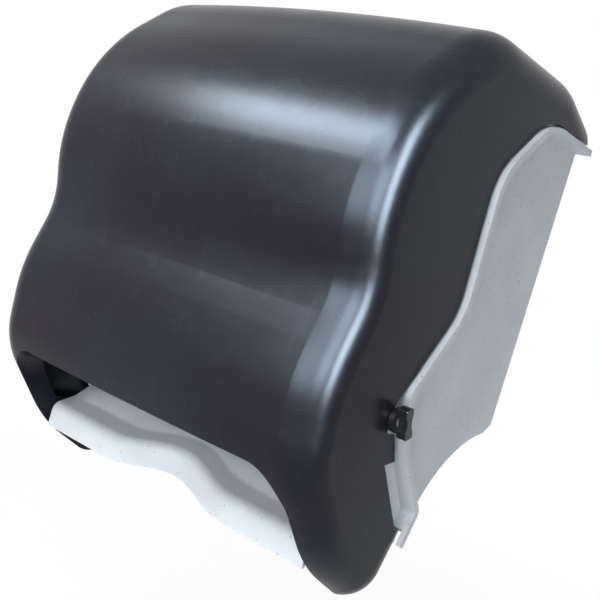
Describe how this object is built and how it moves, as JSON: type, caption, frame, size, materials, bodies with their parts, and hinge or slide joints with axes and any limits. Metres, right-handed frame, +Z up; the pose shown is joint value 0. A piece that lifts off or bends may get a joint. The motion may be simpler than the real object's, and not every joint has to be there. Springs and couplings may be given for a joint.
{
  "type": "paper towel dispenser",
  "caption": "Wall-mounted roll towel dispenser with a hinged dark cover, feed knob, sprung roll arms, knife drum and grey towel chute.",
  "frame": {"origin": "centre of the four wall screws, on the wall face", "axes": "+Y goes back into the wall, +X goes to the right seen from the front, +Z goes up"},
  "size_m": [0.3216, 0.2358, 0.3798],
  "materials": {
    "smoke_cover": "polished dark smoke plastic",
    "granite_plastic": "pale grey moulded plastic with fine dark flecks",
    "black_plastic": "glossy black moulded plastic",
    "grey_plastic": "fine-grained grey moulded plastic",
    "steel": "zinc-plated steel",
    "spring_steel": "bare spring steel",
    "rubber": "matt black rubber"
  },
  "bodies": {
    "root": {"rear_housing": "granite_plastic", "hinge_pin_left": "steel", "hinge_pin_right": "steel", "side_frame_left": "grey_plastic", "side_frame_right": "grey_plastic", "drum_bush_left": "grey_plastic", "drum_bush_right": "grey_plastic", "knife_cam": "grey_plastic", "spring_case": "grey_plastic", "drive_spring": "spring_steel", "pinch_spring_left": "spring_steel", "pinch_spring_right": "spring_steel", "towel_guide": "grey_plastic", "stripper_bar": "grey_plastic", "towel_chute": "granite_plastic", "chute_screws": "steel", "frame_screws": "steel", "bracket_screws": "steel", "strike_screws": "steel", "lock_strike": "steel", "arm_bracket_left": "grey_plastic", "arm_bracket_right": "grey_plastic", "arm_pin_left": "steel", "arm_pin_right": "steel", "arm_spring_left": "spring_steel", "arm_spring_right": "spring_steel"},
    "cover": {"front_cover": "smoke_cover", "lock_nut": "black_plastic"},
    "lock": {"lock_barrel": "steel", "lock_tongue": "steel"},
    "drum": {"feed_drum": "grey_plastic", "drum_cap_left": "grey_plastic", "drum_cap_right": "grey_plastic", "drum_axle": "steel", "grip_bands": "rubber", "knife_pin": "steel", "spring_arbor": "grey_plastic", "feed_knob": "black_plastic"},
    "knife": {"knife_carrier": "grey_plastic", "knife_blade": "spring_steel", "cam_roller": "grey_plastic"},
    "pinch_carriage": {"pinch_block_left": "grey_plastic", "pinch_block_right": "grey_plastic"},
    "pinch_roller": {"pinch_shaft": "steel", "pinch_tyres": "rubber"},
    "transfer": {"transfer_bar": "grey_plastic"},
    "arm_left": {"roll_arm_left": "grey_plastic"},
    "arm_right": {"roll_arm_right": "grey_plastic"},
    "hub_left": {"core_hub_left": "grey_plastic"},
    "hub_right": {"core_hub_right": "grey_plastic"}
  },
  "joints": [
    {"name": "cover_open", "type": "hinge", "parent": "root", "child": "cover", "pos_m": [0, -0.101, -0.2], "axis": [1, 0, 0], "range_deg": [0, 95]},
    {"name": "lock_turn", "type": "hinge", "parent": "cover", "child": "lock", "pos_m": [0, -0.034, 0.133], "axis": [0, 0, -1], "range_deg": [0, 90]},
    {"name": "drum_spin", "type": "hinge", "parent": "root", "child": "drum", "pos_m": [0, -0.15, -0.118], "axis": [1, 0, 0], "continuous": true, "deforming": ["drive_spring"]},
    {"name": "knife_swing", "type": "hinge", "parent": "drum", "child": "knife", "pos_m": [0, -0.15537, -0.15396], "axis": [1, 0, 0], "range_deg": [0, 16], "stiffness_Nm_per_rad": 0.05, "springref_deg": -17.19},
    {"name": "pinch_lift", "type": "slide", "parent": "root", "child": "pinch_carriage", "axis": [0, -1, 0], "range_m": [0, 0.002], "stiffness_N_per_m": 500, "springref_m": -0.002, "deforming": ["pinch_spring_left", "pinch_spring_right"]},
    {"name": "pinch_spin", "type": "hinge", "parent": "pinch_carriage", "child": "pinch_roller", "pos_m": [0, -0.2043, -0.118], "axis": [1, 0, 0], "continuous": true},
    {"name": "transfer_swing", "type": "hinge", "parent": "root", "child": "transfer", "pos_m": [0, -0.205, -0.074], "axis": [1, 0, 0], "range_deg": [0, 12]},
    {"name": "arm_left_flex", "type": "hinge", "parent": "root", "child": "arm_left", "pos_m": [-0.1145, -0.0215, 0.029], "axis": [0, 0, -1], "range_deg": [0, 6], "stiffness_Nm_per_rad": 1, "springref_deg": -5.73},
    {"name": "arm_right_flex", "type": "hinge", "parent": "root", "child": "arm_right", "pos_m": [0.1145, -0.0215, 0.029], "axis": [0, 0, 1], "range_deg": [0, 6], "stiffness_Nm_per_rad": 1, "springref_deg": -5.73},
    {"name": "hub_left_spin", "type": "hinge", "parent": "arm_left", "child": "hub_left", "pos_m": [-0.102, -0.112, 0.029], "axis": [1, 0, 0], "continuous": true},
    {"name": "hub_right_spin", "type": "hinge", "parent": "arm_right", "child": "hub_right", "pos_m": [0.102, -0.112, 0.029], "axis": [1, 0, 0], "continuous": true}
  ],
  "couplings": [
    {"joint": "pinch_spin", "follows": "drum_spin", "ratio": -5}
  ]
}
